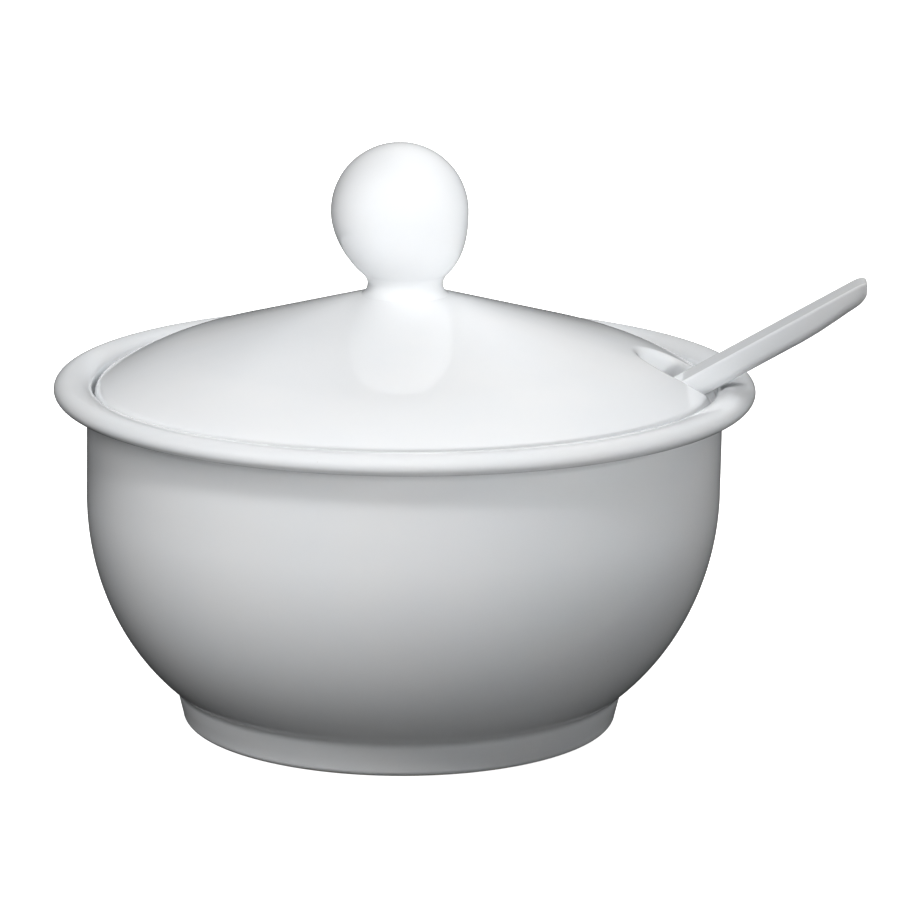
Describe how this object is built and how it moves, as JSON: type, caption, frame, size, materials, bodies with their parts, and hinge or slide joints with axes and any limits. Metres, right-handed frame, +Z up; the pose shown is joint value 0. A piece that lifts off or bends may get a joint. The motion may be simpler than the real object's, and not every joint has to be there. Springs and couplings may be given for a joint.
{
  "type": "sugar bowl",
  "caption": "Footed round porcelain bowl with a rolled rim, a notched domed lid with a ball knob, and a spoon whose handle leaves through the notch.",
  "frame": {"origin": "middle of the whole object's footprint on the plane it stands on", "axes": "+Z up along the bowl's own axis, +X the way the spoon's handle leaves the bowl, +Y to the left of a viewer who looks along +X"},
  "size_m": [0.1384, 0.12, 0.1007],
  "materials": {
    "bowl_porcelain": "clear gloss glaze on white porcelain",
    "lid_porcelain": "clear gloss glaze on white porcelain",
    "knob_porcelain": "clear gloss glaze on white porcelain",
    "spoon_porcelain": "clear gloss glaze on white porcelain"
  },
  "bodies": {
    "bowl": {"bowl": "bowl_porcelain"},
    "lid": {"lid": "lid_porcelain", "lid_knob": "knob_porcelain"},
    "spoon": {"spoon": "spoon_porcelain"}
  },
  "joints": [
    {"name": "lid_lift", "type": "slide", "parent": "bowl", "child": "lid", "axis": [0, 0, 1], "range_m": [0, 0.08]},
    {"name": "spoon_draw", "type": "slide", "parent": "bowl", "child": "spoon", "axis": [0.866, 0, 0.5], "range_m": [0, 0.055]}
  ]
}
